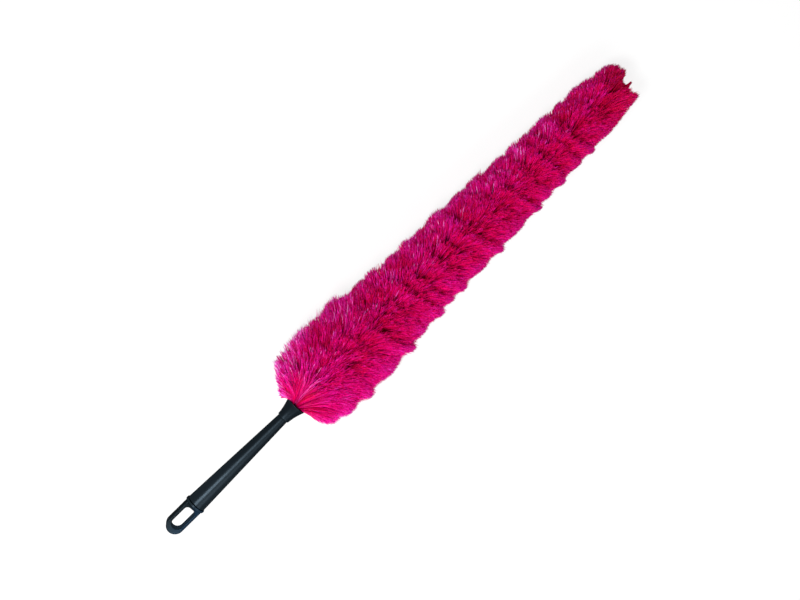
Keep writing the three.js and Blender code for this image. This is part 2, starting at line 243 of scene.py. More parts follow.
# %% Light
WORLD_LIGHT = 0.435
LAMPS = {
    "highlight": {
        "over_x": 60, "sideways": 15, "backwards": 12, "distance": 1.3, "size": (0.40, 0.54), "power": 17.6},
    "side": {
        "over_x": 200, "sideways": -33, "backwards": 12, "distance": 0.8, "size": (1.0, 0.40), "power": 4.7},
}

bpy.context.scene.view_settings.view_transform = "Standard"
world = bpy.data.worlds.new("studio")
world.use_nodes = True
world.node_tree.nodes.clear()
bpy.context.scene.world = world
start = Tone(world.node_tree)
soft = start.node("ShaderNodeBackground", {}, {"Color": WHITE, "Strength": WORLD_LIGHT})
backdrop = start.node("ShaderNodeBackground", {}, {"Color": WHITE, "Strength": 1.0})
sky = start.node("ShaderNodeMixShader", {}, {0: seen_directly(start), 1: soft, 2: backdrop})
start.node("ShaderNodeOutputWorld", {}, {"Surface": sky})

for name, lamp in LAMPS.items():
    light = bpy.data.lights.new(name, "AREA")
    light.shape = "RECTANGLE"
    light.size, light.size_y = lamp["size"]
    light.energy = lamp["power"]
    sideways = math.radians(lamp["sideways"])
    backwards = math.radians(lamp["backwards"])
    above = math.cos(sideways) * UP + math.sin(sideways) * SIDE
    away = math.cos(backwards) * above - math.sin(backwards) * AXIS
    beside = np.cross(away, AXIS) / math.cos(backwards)
    lamp_place = to_row(np.array([lamp["over_x"], 0, 0])) + lamp["distance"] * away
    holder = bpy.data.objects.new(name, light)
    holder.matrix_world = placed(np.cross(beside, away), beside, away, lamp_place)
    bpy.context.scene.collection.objects.link(holder)
    print("lamp", name, "at", np.round(lamp_place, 2))

# %% [markdown]
# The grip, the ferrule and the hang cap are injection mouldings. Their satin comes from a fine spark-eroded
# grain in the mould. Such a grain scatters light at every angle, so the edges don't turn bright as polished
# plastic would: the finish is a dark body colour under a small, even share of bluish gloss. Grain goes into
# the bump and the roughness, and slow smudges from handling into the roughness and the colour. An attribute
# named wear is painted on each piece as it is built, mostly on its edges, and there the plastic is a touch
# paler and glossier. The cap's colour carries painted light and shade across it: navy on the side towards the
# picture's lower right, where the longer lamp stands, and black on the other side.

# %% Moulded plastic
GRAIN_MM = 0.45
GRAIN_BUMP = 0.12
GRAIN_DEPTH = 0.0002
GRAIN_ROUGHNESS = 0.08
SMUDGE_MM = 22.0
SMUDGE_ROUGHNESS = 0.16
SMUDGE_TINT = 0.075
PLAIN_TINT = 0.0525
WEAR_MM = 3.0
WEAR_LEAST = 0.4
WEAR_SWING = 0.9
WEAR_TINT = 0.7
WEAR_POLISH = 0.06
WEAR_GLOSS = 0.014
NOISE_MIDDLE = 0.5
GLOSS_COLOUR = (0.58, 0.80, 1.0, 1.0)
# Span of y over which painted light and shade run across a moulding.
PAINTED_LIGHT_Y = (-7.0, 7.0)
BLACK = (0.0015, 0.0027, 0.0038)
WORN_BLACK = (0.005, 0.008, 0.011)
# The cap's black is its painted shade side, and its navy the side with painted light.
CAP_SHADED_BLACK = (0.0012, 0.0016, 0.0014)
CAP_LIT_NAVY = (0.0012, 0.009, 0.0225)
WORN_NAVY = (0.016, 0.028, 0.038)


def moulded_plastic(name, colour, painted_light_colour, worn_colour, roughness, gloss_share):
    """A satin moulding: one side is painted lighter, smudges shift its colour and roughness, and edges wear.

    The colour moves towards the worn one by a plain share, plus shares of the smudges and the wear.
    """
    material, start = new_finish(name)
    place = start.node("ShaderNodeTexCoord", output="Object")
    sideways = start.node("ShaderNodeSeparateXYZ", {}, {0: place}, output="Y")
    # Painted light and shade: across y the colour runs from the painted light colour to the piece's own.
    shaded_side_share = start.node("ShaderNodeMapRange", {"interpolation_type": "SMOOTHSTEP"}, {
        "Value": sideways,
        "From Min": MM * PAINTED_LIGHT_Y[0],
        "From Max": MM * PAINTED_LIGHT_Y[1],
    })
    plain = shaded_side_share.between((*painted_light_colour, 1.0), (*colour, 1.0))
    grain = start.noise(place, GRAIN_MM, detail=3.0)
    smudge = start.noise(place, SMUDGE_MM, detail=4.0)
    worn = start.node("ShaderNodeAttribute", {"attribute_name": "wear"}, output="Fac")
    worn = worn * (WEAR_LEAST + WEAR_SWING * start.noise(place, WEAR_MM, detail=4.0))
    tint = PLAIN_TINT + SMUDGE_TINT * smudge + WEAR_TINT * worn
    satin = roughness + SMUDGE_ROUGHNESS * (smudge - NOISE_MIDDLE)
    satin = satin + GRAIN_ROUGHNESS * (grain - NOISE_MIDDLE) - WEAR_POLISH * worn
    bump = start.node("ShaderNodeBump", {}, {
        "Strength": GRAIN_BUMP,
        "Distance": GRAIN_DEPTH,
        "Height": grain,
    }, output="Normal")
    body = start.node("ShaderNodeBsdfPrincipled", {}, {
        "Base Color": tint.between(plain, (*worn_colour, 1.0)),
        "Roughness": satin,
        "Specular IOR Level": 0.0,
        "Normal": bump,
    })
    gloss = start.node("ShaderNodeBsdfPrincipled", {}, {
        "Base Color": GLOSS_COLOUR,
        "Metallic": 1.0,
        "Roughness": satin,
        "Normal": bump,
    })
    share = gloss_share + WEAR_GLOSS * worn
    start.surface(start.node("ShaderNodeMixShader", {}, {0: share, 1: body, 2: gloss}))
    return material


grip_plastic = moulded_plastic(
    "grip_plastic", BLACK, BLACK, worn_colour=WORN_BLACK, roughness=0.34, gloss_share=0.0090)
cap_plastic = moulded_plastic(
    "cap_plastic", CAP_SHADED_BLACK, CAP_LIT_NAVY, worn_colour=WORN_NAVY, roughness=0.31, gloss_share=0.0058)
print("plastics:", grip_plastic.name, cap_plastic.name)

# %% [markdown]
# A moulding with a round section is a profile carried round the axis, and a hang loop is a section carried
# round a slot. Both are grids of points, one ring after another, so one function skins them: it joins each
# ring to the next, and either joins the last ring to the first or closes both ends with a fan. If the signed
# volume inside the skin comes out negative the faces point inwards, and all of them are turned over.

# %% Skins
SHARP_ANGLE = math.radians(38)


def skin(name, rings, finish, ring_closed, wear=0.0):
    """A closed mesh over rings of points, shape (rings, sides, 3), in tool millimetres.

    ring_closed joins the last ring to the first. Otherwise each end is closed by a fan to the mean of its
    ring. wear runs from none to one, and is given for each point, for each ring or for all of them.
    """
    count, sides = rings.shape[:2]
    number = np.arange(count * sides).reshape(count, sides)
    if ring_closed:
        number = np.vstack([number, number[:1]])
    beside = np.roll(number, -1, axis=1)
    quads = np.stack([number[:-1], beside[:-1], beside[1:], number[1:]], axis=-1).reshape(-1, 4)
    points = to_row(rings.reshape(-1, 3))
    triangles = np.zeros((0, 3), int)
    if not ring_closed:
        ends = np.array([len(points), len(points) + 1])
        first = np.stack([beside[0], number[0], np.full(sides, ends[0])], axis=-1)
        last = np.stack([number[-1], beside[-1], np.full(sides, ends[1])], axis=-1)
        triangles = np.vstack([first, last])
        points = np.vstack([points, to_row(rings[0].mean(axis=0)), to_row(rings[-1].mean(axis=0))])
    halves = np.vstack([quads[:, [0, 1, 2]], quads[:, [0, 2, 3]], triangles])
    a, b, c = points[halves[:, 0]], points[halves[:, 1]], points[halves[:, 2]]
    if np.einsum("ij,ij->i", a, np.cross(b, c)).sum() < 0:
        quads, triangles = quads[:, ::-1], triangles[:, ::-1]
    mesh = bpy.data.meshes.new(name)
    mesh.from_pydata(points.tolist(), [], quads.tolist() + triangles.tolist())
    mesh.polygons.foreach_set("use_smooth", np.ones(len(mesh.polygons), bool))
    mesh.set_sharp_from_angle(angle=SHARP_ANGLE)
    worn = np.zeros(len(points))
    worn[:count * sides] = np.broadcast_to(wear, (count, sides)).reshape(-1)
    mesh.attributes.new("wear", "FLOAT", "POINT").data.foreach_set("value", worn)
    mesh.materials.append(finish)
    piece = bpy.data.objects.new(name, mesh)
    bpy.context.scene.collection.objects.link(piece)
    print(name, "faces", len(mesh.polygons))
    return piece


# %% [markdown]
# A profile is a row of points, each a station along the axis and a radius. Moulded edges are never quite
# sharp, so the corners of a profile are eased before it is carried round. A Bevel modifier could ease them
# too, but here each profile chooses its own size, and the rings stay in order for the wear.

# %% Profiles
EDGE_SHARE = 0.45
MERGED_MM = 1e-6


def softened(corners, size, steps=5):
    """An open profile whose corners are eased, apart from its two ends.

    Each corner becomes the curve of second degree that leaves it by size along both edges, or by a share of
    the edge where that is short. Points that fall together are merged.
    """
    corners = np.array(corners, float)
    before = np.roll(corners, 1, axis=0) - corners
    after = np.roll(corners, -1, axis=0) - corners
    reach_before = np.minimum(size / np.linalg.norm(before, axis=1), EDGE_SHARE)[:, None]
    reach_after = np.minimum(size / np.linalg.norm(after, axis=1), EDGE_SHARE)[:, None]
    reach_before[[0, -1]] = 0
    reach_after[[0, -1]] = 0
    start = (corners + before * reach_before)[:, None]
    end = (corners + after * reach_after)[:, None]
    t = np.linspace(0, 1, steps)[None, :, None]
    eased = start * (1 - t) ** 2 + corners[:, None] * 2 * t * (1 - t) + end * t ** 2
    eased = eased.reshape(-1, 2)
    apart = np.linalg.norm(np.diff(eased, axis=0), axis=1) > MERGED_MM
    return eased[np.r_[True, apart]]


def about_axis(x, radius, turn):
    """Points about the axis: x along it, and the radius times the turn's cosine and sine across it."""
    return np.stack([x + 0 * turn, radius * np.cos(turn), radius * np.sin(turn)], axis=-1)


def lathe(profile, sides=96):
    """Rings of a profile of (x, radius) points carried round the axis."""
    turn = np.linspace(0, 2 * np.pi, sides, endpoint=False)
    return about_axis(profile[:, :1], profile[:, 1:], turn)


def worn_near(x, edge_x, width):
    """Wear of an edge: one at its station, and fading to each side over a width."""
    return np.exp(-np.abs(x - edge_x) / width)


print("an eased corner has", len(softened([[0, 1], [1, 1], [1, 0]], size=0.3)), "points")

# %% [markdown]
# The grip is a hollow tapered tube: wide where the palm closes on it, narrow at the neck. Its rear end takes
# the hang cap's plug, and its front end is a spigot inside the ferrule. The long taper is divided into many
# rings, so that the wear of the hand can fade in and out along it.

# %% Grip
GRIP_LENGTH = 141.0
GRIP_REAR_RADIUS = 11.9
GRIP_REAR_ROUND = 0.8
TAPER_RINGS = 60
NECK_RADIUS = 6.7
SPIGOT_RADIUS = 5.9
SPIGOT_END = 151.0
SPIGOT_ROUND = 0.25
PLUG_SOCKET = 9.5
SOCKET_END = 16.3
STEM_BORE = 4.0
STEM_STOP = 130.7
BORE_STEP = 0.5
REAR_WEAR = 0.3
REAR_WEAR_X = 0.4
REAR_WEAR_WIDTH = 0.6
PALM_WEAR = 0.42
PALM_X = 20.0
PALM_LENGTH = 50.0

taper_x = np.linspace(0, GRIP_LENGTH, TAPER_RINGS)
taper_radius = np.interp(taper_x, [0, GRIP_LENGTH], [GRIP_REAR_RADIUS, NECK_RADIUS])
taper = np.stack([taper_x, taper_radius], axis=-1)
rear_edge = softened([[0, PLUG_SOCKET], [0, GRIP_REAR_RADIUS], taper[1]], GRIP_REAR_ROUND)
front = softened([
    taper[-2],
    [GRIP_LENGTH, NECK_RADIUS],
    [GRIP_LENGTH, SPIGOT_RADIUS],
    [SPIGOT_END, SPIGOT_RADIUS],
    [SPIGOT_END, STEM_BORE],
    [STEM_STOP, STEM_BORE],
    [STEM_STOP, STEM_BORE + BORE_STEP],
    [SOCKET_END, PLUG_SOCKET - BORE_STEP],
    [SOCKET_END, PLUG_SOCKET],
], SPIGOT_ROUND)
grip_profile = np.vstack([rear_edge, taper[2:-2], front])
rear_wear = REAR_WEAR * worn_near(grip_profile[:, :1], REAR_WEAR_X, REAR_WEAR_WIDTH)
palm_wear = PALM_WEAR * np.exp(-((grip_profile[:, :1] - PALM_X) / PALM_LENGTH) ** 2)
grip = skin("grip_tube", lathe(grip_profile), grip_plastic, True, rear_wear + palm_wear)
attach(grip, "brush")
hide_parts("grip")

# %% [markdown]
# The ferrule is a short trumpet pushed over the grip's spigot. It starts with a small step, flares to a thin
# lip, and holds the root of the pile in its cup. Its outer side is a smooth curve fitted to a few radii, and
# the cup widens inside it as a plain cone.

# %% Ferrule
FERRULE_REAR = 141.3
FERRULE_FRONT = 162.3
FERRULE_SOCKET = 6.2
FERRULE_X = [FERRULE_REAR, 144.0, 148.0, 153.0, 158.0, FERRULE_FRONT]
FERRULE_RADIUS = [7.9, 8.1, 8.8, 9.9, 11.3, 12.9]
FLARE_DEGREE = 3
FLARE_RINGS = 26
STEP_ROUND = 0.5
LIP_WALL = 0.9
LIP_ROUND = 0.35
CUP_FLOOR = 155.1
CUP_RINGS = 12
WEB_REAR = 153.1
CORE_BORE = 2.6
LIP_WEAR_WIDTH = 0.6
STEP_WEAR = 0.6
STEP_WEAR_X = FERRULE_REAR + 0.3
STEP_WEAR_WIDTH = 0.5

flare_x = np.linspace(FERRULE_REAR, FERRULE_FRONT, FLARE_RINGS)
flare_radius = np.polyval(np.polyfit(FERRULE_X, FERRULE_RADIUS, FLARE_DEGREE), flare_x)
flare = np.stack([flare_x, flare_radius], axis=-1)
cup_x = np.linspace(FERRULE_FRONT, CUP_FLOOR, CUP_RINGS)
cup_radius = np.interp(cup_x, [CUP_FLOOR, FERRULE_FRONT], [FERRULE_SOCKET, flare_radius[-1] - LIP_WALL])
cup = np.stack([cup_x, cup_radius], axis=-1)
step = softened([[FERRULE_REAR, FERRULE_SOCKET], flare[0], flare[2]], STEP_ROUND)
lip = softened([flare[-2], flare[-1], cup[0], cup[1]], LIP_ROUND)
web = [
    [CUP_FLOOR, FERRULE_SOCKET],
    [CUP_FLOOR, CORE_BORE],
    [WEB_REAR, CORE_BORE],
    [WEB_REAR, FERRULE_SOCKET],
]
ferrule_profile = np.vstack([step, flare[3:-2], lip, cup[2:-1], web])
lip_wear = worn_near(ferrule_profile[:, :1], FERRULE_FRONT, LIP_WEAR_WIDTH)
step_wear = STEP_WEAR * worn_near(ferrule_profile[:, :1], STEP_WEAR_X, STEP_WEAR_WIDTH)
ferrule = skin("ferrule_trumpet", lathe(ferrule_profile), grip_plastic, True, lip_wear + step_wear)
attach(ferrule, "brush")
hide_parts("ferrule")

# %% [markdown]
# The hang cap is one moulding: a slotted loop, a flange like a bead, and a plug that snaps into the grip. The
# loop is a section carried round the slot. Each point of the slot's wall has its partner on the outer
# outline, and a rectangle with round corners is stretched between the two. It could be a cut-out plate with
# bevelled edges, but this way each ring also knows how the hook has worn it.

# %% Hang loop
FLANGE_REAR = -4.3
LOOP_REAR = -45.0
LOOP_HALF_WIDTH = 10.8
LOOP_HALF_THICKNESS = 6.5
LOOP_EDGE = 1.6
LOOP_REAR_BAR = 7.6
SLOT_RADIUS = 6.8
SLOT_FRONT = -7.6
SLOT_FRONT_ROUND = 4.5
EDGE_WEAR = 0.12
WALL_WEAR = 0.5
HOOK_WEAR_AND_LIGHT = 0.8
HOOK_WEAR_AND_LIGHT_LENGTH = 14.0
ALMOST_NONE = 1e-9


def slot_walls(steps=40):
    """Inner and outer outline of the loop, point for point.

    The inner one has two round corners in front and a half circle behind, joined by lines. Each point of the
    outer front is where the ray from a middle behind the slot's front, through the inner point, meets the
    loop's straight side or the middle of the flange.
    """
    half = np.linspace(-np.pi / 2, np.pi / 2, steps)
    side = np.linspace(0, 1, steps)[1:-1]
    corner = np.stack([np.cos(half), np.sin(half)], axis=-1)
    middle_y = np.sign(half)[:, None] * [0, SLOT_RADIUS - SLOT_FRONT_ROUND]
    front = [SLOT_FRONT - SLOT_FRONT_ROUND, 0] + SLOT_FRONT_ROUND * corner + middle_y
    from_middle = front - [SLOT_FRONT - SLOT_RADIUS, 0]
    ahead = (FLANGE_REAR / 2 - SLOT_FRONT + SLOT_RADIUS) / np.maximum(from_middle[:, 0], ALMOST_NONE)
    aside = LOOP_HALF_WIDTH / np.maximum(np.abs(from_middle[:, 1]), ALMOST_NONE)
    outer_front = [SLOT_FRONT - SLOT_RADIUS, 0] + from_middle * np.minimum(ahead, aside)[:, None]
    rear = [LOOP_REAR + LOOP_REAR_BAR + SLOT_RADIUS, 0] - SLOT_RADIUS * corner
    outer_rear = [LOOP_REAR + LOOP_HALF_WIDTH, 0] - LOOP_HALF_WIDTH * corner
    walls = []
    for front_arc, rear_arc in ((front, rear), (outer_front, outer_rear)):
        upper = front_arc[-1] + side[:, None] * (rear_arc[0] - front_arc[-1])
        lower = rear_arc[-1] + side[:, None] * (front_arc[0] - rear_arc[-1])
        walls.append(np.vstack([front_arc, upper, rear_arc, lower]))
    return walls


def loop_rings(corner_steps=7):
    """A rectangle with round corners, stretched from the inner wall to the outer outline, and its wear.

    Corners wear a little, the slot's wall more, the rear end most, where the hook rubs and painted light
    falls.
    """
    inner, outer = slot_walls()
    width = np.linalg.norm(outer - inner, axis=1)[:, None]
    along = (outer - inner) / width
    quarter = np.linspace(0, np.pi / 2, corner_steps)
    turn = np.concatenate([quarter + k * np.pi / 2 for k in range(4)])
    far = np.repeat([1, 0, 0, 1], corner_steps)
    high = np.repeat([1, 1, -1, -1], corner_steps)
    reach = far * (width - LOOP_EDGE) + (1 - far) * LOOP_EDGE + LOOP_EDGE * np.cos(turn)
    height = high * (LOOP_HALF_THICKNESS - LOOP_EDGE) + LOOP_EDGE * np.sin(turn)
    flat = inner[:, None] + along[:, None] * reach[..., None]
    rings = np.concatenate([flat, np.broadcast_to(height, reach.shape)[..., None]], axis=-1)
    edge_wear = EDGE_WEAR * np.sin(2 * turn) ** 2
    wall_wear = WALL_WEAR * (1 - far) * np.cos(turn) ** 2
    # Wear at the rear end, where the hook rubs, and partly painted light on the rear end.
    rear_wear = HOOK_WEAR_AND_LIGHT * np.clip(1 - (rings[..., 0] - LOOP_REAR) / HOOK_WEAR_AND_LIGHT_LENGTH, 0, 1)
    return rings, np.maximum(rear_wear, np.maximum(edge_wear, wall_wear))


rings, loop_wear = loop_rings()
loop = skin("hang_cap_loop", rings, cap_plastic, True, loop_wear)

# %% [markdown]
# The flange and the plug are round, so one profile makes both: from the rear face over the shoulder and the
# bead to the snap on the plug, and back into the hollow inside it. The front of the loop ends inside the
# flange, so the two meshes look like the one moulding that they are.

# %% Flange and plug
FLANGE_RADIUS = 13.1
FLANGE_SHOULDER = 11.6
FLANGE_FRONT = -0.3
FLANGE_ROUND = 0.6
REAR_FACE_RADIUS = 6.0
SHOULDER_WIDTH = 0.9
BEAD_REAR = 1.3
BEAD_BEVEL = (0.2, 0.6)
PLUG_RADIUS = 9.2
PLUG_END = 16.0
PLUG_HOLLOW = 7.0
HOLLOW_FLOOR = 0.0
FLOOR_FACE_RADIUS = 4.0
SNAP_X = (8.0, 9.5, 11.0)
SNAP_HEIGHT = 0.6
RIM_WEAR = 0.3
RIM_WEAR_DEPTH = 0.8

plug_profile = softened([
    [FLANGE_REAR, REAR_FACE_RADIUS],
    [FLANGE_REAR, FLANGE_SHOULDER],
    [FLANGE_REAR + SHOULDER_WIDTH, FLANGE_SHOULDER],
    [FLANGE_REAR + BEAD_REAR, FLANGE_RADIUS],
    [FLANGE_FRONT - BEAD_BEVEL[0], FLANGE_RADIUS],
    [FLANGE_FRONT, FLANGE_RADIUS - BEAD_BEVEL[1]],
    [FLANGE_FRONT, PLUG_RADIUS],
    [SNAP_X[0], PLUG_RADIUS],
    [SNAP_X[1], PLUG_RADIUS + SNAP_HEIGHT],
    [SNAP_X[2], PLUG_RADIUS],
    [PLUG_END, PLUG_RADIUS],
    [PLUG_END, PLUG_HOLLOW],
    [HOLLOW_FLOOR, PLUG_HOLLOW],
    [HOLLOW_FLOOR, FLOOR_FACE_RADIUS],
], FLANGE_ROUND, steps=6)
past_rim = (plug_profile[:, 1:] - FLANGE_RADIUS + RIM_WEAR_DEPTH) / RIM_WEAR_DEPTH
flange = skin("hang_cap_flange", lathe(plug_profile), cap_plastic, False, RIM_WEAR * np.clip(past_rim, 0, 1))
for piece in (loop, flange):
    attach(piece, "hang_loop")
    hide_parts("hang_cap")

# %% [markdown]
# The core is zinc-coated drawn wire. It is hardly seen among the fibre, so its finish is plain: bright metal,
# with fine streaks in its roughness and dull patches in its colour, where the zinc has weathered.

# %% Drawn steel
STEEL = (0.60, 0.61, 0.62)
DULL_STEEL = (0.42, 0.43, 0.45)
PATCH_MM = 6.0
STREAK_MM = 0.4
STEEL_ROUGHNESS = 0.24
STREAK_ROUGHNESS = 0.2
PATCH_ROUGHNESS = 0.12


def drawn_steel(name):
    """Zinc-coated drawn wire: bright metal with fine streaks in its roughness and dull patches of colour."""
    material, start = new_finish(name)
    place = start.node("ShaderNodeTexCoord", output="Object")
    patches = start.noise(place, PATCH_MM, detail=4.0)
    streaks = start.noise(place, STREAK_MM, detail=2.0)
    start.surface(start.node("ShaderNodeBsdfPrincipled", {}, {
        "Base Color": patches.between((*STEEL, 1.0), (*DULL_STEEL, 1.0)),
        "Metallic": 1.0,
        "Roughness": STEEL_ROUGHNESS + STREAK_ROUGHNESS * streaks + PATCH_ROUGHNESS * patches,
    }))
    return material


core_steel = drawn_steel("core_steel")
print("steel:", core_steel.name)

# %% [markdown]
# The core is one wire, folded in half and twisted with the fibre between its two strands, with an eye at the
# fold. Two helix curves could be joined by hand, but one path keeps the wire whole: a strand to the eye, half
# a circle round it, and the other strand back. A circle is carried along that path.

# %% Core wire
WIRE_RADIUS = 1.0
WIRE_SIDES = 9
WIRE_STEPS = 620
WIRE_PITCH = 37.0
WIRE_PHASE = math.radians(6)
CORE_ORBIT = 1.3
TAIL_ORBIT = 3.2
TAIL_LENGTH = 9.0
EYE_ORBIT = 2.5
EYE_LENGTH = 7.0
EYE_STEPS = 22
STEM_SEAT = 131.0
FIRST_ROOT = 162.0
LAST_ROOT = 686.0


def smooth_step(value):
    """The S-shaped step from none to one."""
    value = np.clip(value, 0, 1)
    return value * value * (3 - 2 * value)


def folded_path():
    """The wire's middle line, by one strand, the eye and the other strand, and the normal of the fold.

    A strand orbits the axis once in each pitch. Its orbit widens at the tail and towards the eye, which is a
    half circle in the plane where the twist ends.
    """
    eye_middle = LAST_ROOT + EYE_LENGTH
    x = np.linspace(STEM_SEAT - TAIL_LENGTH, eye_middle, WIRE_STEPS)
    angle = 2 * np.pi * (np.clip(x, STEM_SEAT, LAST_ROOT) - FIRST_ROOT) / WIRE_PITCH + WIRE_PHASE
    orbit = CORE_ORBIT + (TAIL_ORBIT - CORE_ORBIT) * smooth_step((STEM_SEAT - x) / TAIL_LENGTH)
    orbit = orbit + (EYE_ORBIT - CORE_ORBIT) * smooth_step((x - LAST_ROOT) / EYE_LENGTH)
    bend = np.linspace(0, np.pi, EYE_STEPS)[1:-1]
    x = np.concatenate([x, eye_middle + EYE_ORBIT * np.sin(bend), x[::-1]])
    reach = np.concatenate([orbit, EYE_ORBIT * np.cos(bend), -orbit[::-1]])
    angle = np.concatenate([angle, np.full(len(bend), angle[-1]), angle[::-1]])
    return about_axis(x, reach, angle), np.stack([0 * x, -np.sin(angle), np.cos(angle)], axis=-1)


def tube(path, normal, radius, sides):
    """Rings of a circle carried along a path.

    The circle lies in two directions: the normal, less its part along the path, and what is square to both.
    """
    ahead = np.gradient(path, axis=0)
    ahead = ahead / np.linalg.norm(ahead, axis=1, keepdims=True)
    first = normal - ahead * np.sum(normal * ahead, axis=1, keepdims=True)
    first = first / np.linalg.norm(first, axis=1, keepdims=True)
    second = np.cross(ahead, first)
    turn = np.linspace(0, 2 * np.pi, sides, endpoint=False)[None, :, None]
    return path[:, None] + radius * (np.cos(turn) * first[:, None] + np.sin(turn) * second[:, None])


wire = skin("core_twisted_wire", tube(*folded_path(), WIRE_RADIUS, WIRE_SIDES), core_steel, False)
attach(wire, "brush")
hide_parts("core_wire")

# %% [markdown]
# The stem plug holds the wire's tail inside the grip. It could be rebuilt from a profile too, but no side
# shows it and the solid's own shape is right, so the solid stays and only gets a finish, a grey moulding.

# %% Stem plug
GREY = (0.12, 0.13, 0.14)
WORN_GREY = (0.20, 0.21, 0.22)

plug_plastic = moulded_plastic(
    "plug_plastic", GREY, GREY, worn_colour=WORN_GREY, roughness=0.45, gloss_share=0.0115)
for holder in frame["nodes"]["stem_plug"].material_slots:
    holder.material = plug_plastic
print("stem plug finish:", plug_plastic.name)

# %% [markdown]
# The fibre is a fine dyed synthetic. Painted shade makes it darkest and reddest at its root, where little
# light reaches it, and painted light makes its cut tips paler. No two locks take the dye alike. A UV map
# named
# OFBake holds both: it has a narrow column for each shade of the dye, from dark on the left to pale on the
# right, and every strand lies in the column of its shade with its root at the bottom and its tip at the top.
# The colour is read from that map alone, so it stays with the strand wherever the strand bends.

# %% Fibre finish
DYE = [
    (0.0, (0.50, 0.0003, 0.046)),
    (0.26, (0.75, 0.0008, 0.112)),
    (0.5, (0.78, 0.0024, 0.275)),
    (0.75, (0.88, 0.020, 0.51)),
    (0.9, (0.97, 0.15, 0.80)),
    (1.0, (1.0, 0.37, 0.90)),
]
# Painted shade and light along the strand: darker and redder at the root, paler at the tip.
PAINTED_ROOT_SHADE_TIP_LIGHT = [
    (0.0, (0.84, 0.28, 0.47)),
    (0.45, (0.96, 0.48, 0.53)),
    (0.8, (1.0, 0.82, 0.76)),
    (1.0, (0.96, 1.0, 1.0)),
]
FIBRE_ROUGHNESS = 0.44
PALE_POLISH = 0.14
FIBRE_GLOSS = 0.05


def dyed_fibre(name):
    """The dye of the shade across the map, times painted root shade and tip light up the map."""
    material, start = new_finish(name)
    strand_map = start.node("ShaderNodeUVMap", {"uv_map": "OFBake"})
    shade = start.node("ShaderNodeSeparateXYZ", {}, {0: strand_map}, output="X")
    length = start.node("ShaderNodeSeparateXYZ", {}, {0: strand_map}, output="Y")
    dye = start.node("ShaderNodeValToRGB", {"stops": DYE}, {"Fac": shade})
    root_shade_tip_light = start.node("ShaderNodeValToRGB", {"stops": PAINTED_ROOT_SHADE_TIP_LIGHT}, {"Fac": length})
    multiplied = {"data_type": "RGBA", "blend_type": "MULTIPLY"}
    sockets = {MIX_SHARE: 1.0, MIX_FIRST: dye, MIX_SECOND: root_shade_tip_light}
    start.surface(start.node("ShaderNodeBsdfPrincipled", {}, {
        "Base Color": start.node("ShaderNodeMix", multiplied, sockets, output=MIX_RESULT),
        "Roughness": FIBRE_ROUGHNESS - PALE_POLISH * shade,
        "Specular IOR Level": FIBRE_GLOSS,
    }))
    return material


pile_fibre = dyed_fibre("pile_fibre")
print("fibre:", pile_fibre.name)

# %% [markdown]
# Fur could be made of Blender's hair curves, but a reusable part needs meshes, so every strand is a slim
# closed three-sided tube with a point. The shape of the whole pile comes first: how far the trimmed pile
# reaches from the axis, and how far its fibres lean. Near the ferrule they stand almost straight out, and at
# the tip they point forward. A brush is packed and used flat, so the pile is a little fuller on one edge, and
# its tip parts into lobes.

# %% Outline and lean of the pile
RISE_START = 160.8
RISE_LENGTH = 9.5
FULL_RISE_START = 139.5
FULL_RISE_LENGTH = 43.0
FULL_EDGE = -CAMERA_TILT
FULLNESS_MM = 2.6
TAPER_X = [185, 257, 305, 329, 401, 449, 521, 593, 655]
TAPER_RADIUS = [55.5, 56.3, 52, 48, 43.5, 43.3, 39, 35.5, 33]
TIP_START = 655.0
TIP_LENGTH = 52.0
TIP_POWER = 3.0
TIP_LOBES = [
    {"middle": 16.5, "half_width": 16.0, "end": 704.0},
    {"middle": -14.0, "half_width": 15.0, "end": 694.8},
    {"middle": 0.0, "half_width": 8.0, "end": 693.0},
    {"middle": -6.2, "half_width": 2.0, "end": 700.5},
]
LOBE_DROP = 20.0
LOBE_POWER = 4
LOBE_LIMIT = 3.0
LEAN_BASE = 68.0
LEAN_BODY = 52.0
LEAN_TIP = 10.0
LEAN_BASE_LENGTH = 60.0
LEAN_TIP_LENGTH = 66.0
ROOT_REACH = 3.4
LONGEST = 120.0
SHORTEST = 4.0
HALVINGS = 16


def pile_reach(x, from_edge):
    """Radius of the trimmed pile: a rise from the ferrule, a plateau, a taper and a round tip.

    from_edge runs from one on the fuller edge to minus one on the edge across. The rise is blunt there, and
    on the fuller edge it is a long slope that starts over the ferrule.
    """
    blunt = 1 - np.exp(-np.maximum(x - RISE_START, 0) / RISE_LENGTH)
    sloped = np.clip((x - FULL_RISE_START) / FULL_RISE_LENGTH, 0, 1)
    rise = blunt + (sloped - blunt) * (1 + from_edge) / 2
    past = np.clip((x - TIP_START) / TIP_LENGTH, 0, 1)
    body = np.interp(x, TAPER_X, TAPER_RADIUS) + FULLNESS_MM * from_edge
    return rise * body * (1 - past ** TIP_POWER) ** (1 / TIP_POWER)


def tip_end(sideways):
    """Where the pile ends at a distance to the side of its axis: the furthest of a few blunt lobes.

    A lobe drops with a high power of the distance from its middle, down to a limit.
    """
    ends = []
    for lobe in TIP_LOBES:
        aside = (sideways - lobe["middle"]) / lobe["half_width"]
        ends.append(lobe["end"] - LOBE_DROP * np.minimum(aside ** LOBE_POWER, LOBE_LIMIT))
    return np.maximum.reduce(ends)


def lean_at(x):
    """Degrees between a fibre's chord and the axis: smooth steps from base to body and from body to tip."""
    to_body = smooth_step((x - FIRST_ROOT) / LEAN_BASE_LENGTH)
    to_tip = smooth_step((x - LAST_ROOT + LEAN_TIP_LENGTH) / LEAN_TIP_LENGTH)
    return LEAN_BASE + (LEAN_BODY - LEAN_BASE) * to_body + (LEAN_TIP - LEAN_BODY) * to_tip


